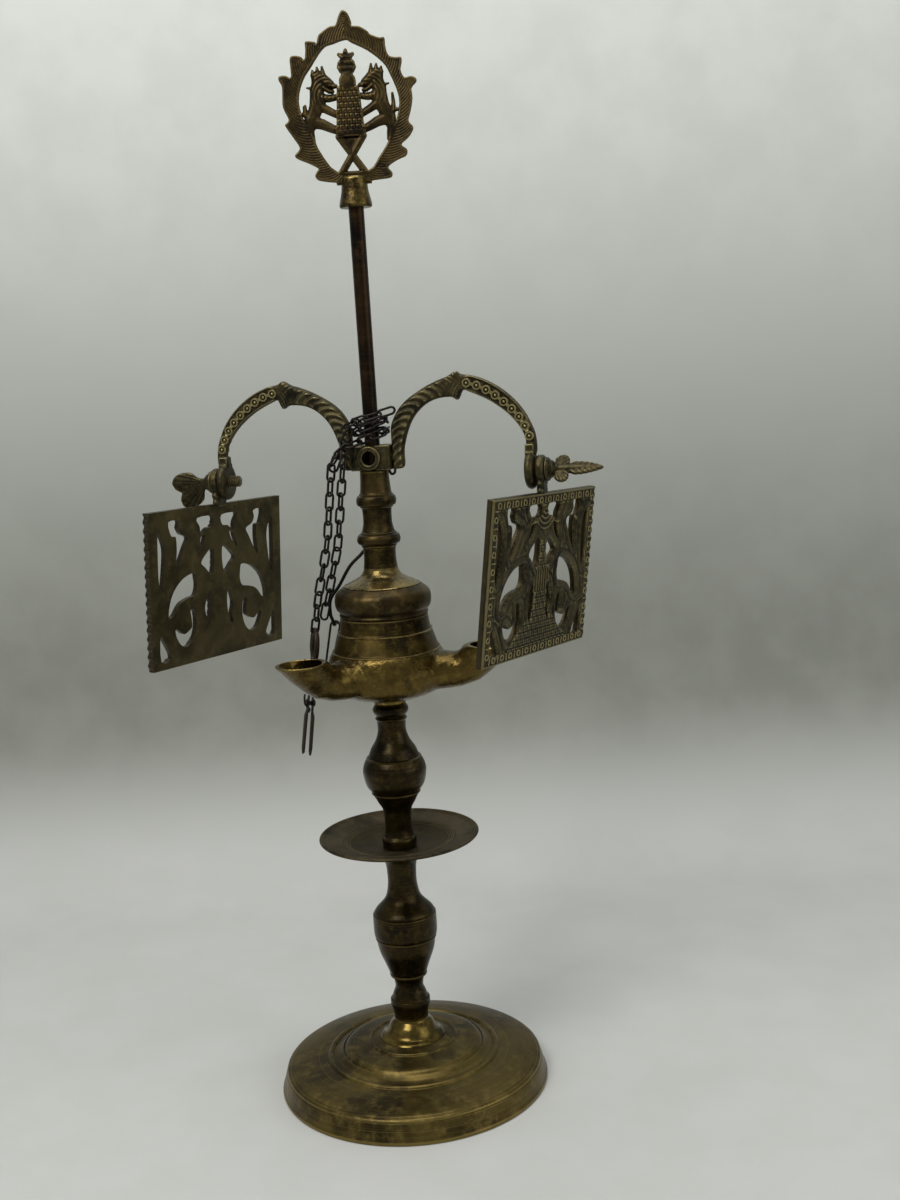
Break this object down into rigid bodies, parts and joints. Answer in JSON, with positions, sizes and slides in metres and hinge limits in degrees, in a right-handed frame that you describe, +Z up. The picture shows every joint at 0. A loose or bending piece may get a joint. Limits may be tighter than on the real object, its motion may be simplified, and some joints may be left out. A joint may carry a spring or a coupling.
{
  "type": "standing oil lamp",
  "caption": "Tall turned stand with a spouted oil reservoir on a centre rod and a two-armed bracket holding pierced light screens and wick tools on chains.",
  "frame": {"origin": "centre of the foot's underside, on the column's axis", "axes": "+Z up the column; +X to the right of the pictured side, -Y towards its viewer"},
  "size_m": [0.2465, 0.15, 0.578],
  "materials": {
    "foot_brass": "aged turned brass with worn rings",
    "stem_brass": "dark aged brass with rubbed edges",
    "tray_brass": "dull aged sheet brass",
    "reservoir_brass": "warm aged brass with speckled wear",
    "bright_brass": "rubbed bright brass",
    "cast_brass": "dull cast brass with dark recesses",
    "finial_brass": "dark cast brass with rubbed tops",
    "rod_iron": "dark red-brown patina",
    "dark_iron": "blackened iron"
  },
  "bodies": {
    "stand": {"foot": "foot_brass", "foot_washer": "dark_iron", "foot_nut": "dark_iron", "lower_stem": "stem_brass", "drip_tray": "tray_brass", "upper_stem": "stem_brass", "centre_rod": "rod_iron", "finial": "finial_brass"},
    "reservoir_set": {"reservoir": "reservoir_brass", "reservoir_tube": "bright_brass"},
    "cap_set": {"reservoir_cap": "reservoir_brass", "cap_neck": "stem_brass"},
    "bracket": {"arm_collar": "cast_brass", "left_arm": "cast_brass", "right_arm": "cast_brass", "chain_wraps": "dark_iron", "wire_pick": "dark_iron"},
    "left_shade": {"left_screen": "cast_brass"},
    "right_shade": {"right_screen": "cast_brass"},
    "left_screw": {"left_thumb_screw": "cast_brass"},
    "right_screw": {"right_thumb_screw": "cast_brass"},
    "hung_tools": {"tool_chains": "dark_iron", "scissors_half_a": "dark_iron", "scissors_rivet": "dark_iron"},
    "scissors_free_half": {"scissors_half_b": "dark_iron"},
    "hung_tweezers": {"tweezers": "dark_iron"}
  },
  "joints": [
    {"name": "reservoir_turn", "type": "hinge", "parent": "stand", "child": "reservoir_set", "pos_m": [0, 0, 0.2187], "axis": [0, 0, 1], "continuous": true},
    {"name": "cap_lift", "type": "slide", "parent": "reservoir_set", "child": "cap_set", "axis": [0, 0, 1], "range_m": [0, 0.09]},
    {"name": "bracket_turn", "type": "hinge", "parent": "cap_set", "child": "bracket", "pos_m": [0, 0, 0.3457], "axis": [0, 0, 1], "range_deg": [-25, 20]},
    {"name": "left_swing", "type": "hinge", "parent": "bracket", "child": "left_shade", "pos_m": [-0.08699, 0.02495, 0.3425], "axis": [-0.9613, 0.2756, 0], "range_deg": [-90, 90]},
    {"name": "right_swing", "type": "hinge", "parent": "bracket", "child": "right_shade", "pos_m": [0.08699, -0.02495, 0.3425], "axis": [0.9613, -0.2756, 0], "range_deg": [-90, 12]},
    {"name": "left_screw_turn", "type": "hinge", "parent": "bracket", "child": "left_screw", "pos_m": [-0.082, 0.02351, 0.3425], "axis": [-0.9613, 0.2756, 0], "continuous": true},
    {"name": "right_screw_turn", "type": "hinge", "parent": "bracket", "child": "right_screw", "pos_m": [0.082, -0.02351, 0.3425], "axis": [0.9613, -0.2756, 0], "continuous": true},
    {"name": "tools_swing", "type": "hinge", "parent": "bracket", "child": "hung_tools", "pos_m": [-0.01593, -0.00977, 0.34889], "axis": [-0.7262, 0.6811, 0.0932], "range_deg": [0, 35]},
    {"name": "scissors_open", "type": "hinge", "parent": "hung_tools", "child": "scissors_free_half", "pos_m": [-0.04296, 0.004, 0.2203], "axis": [0.9412, 0.3118, -0.1297], "range_deg": [0, 26]},
    {"name": "tweezers_swing", "type": "hinge", "parent": "bracket", "child": "hung_tweezers", "pos_m": [-0.02798, 0.01635, 0.2613], "axis": [0.1045, 0.9945, 0], "range_deg": [0, 40]}
  ]
}
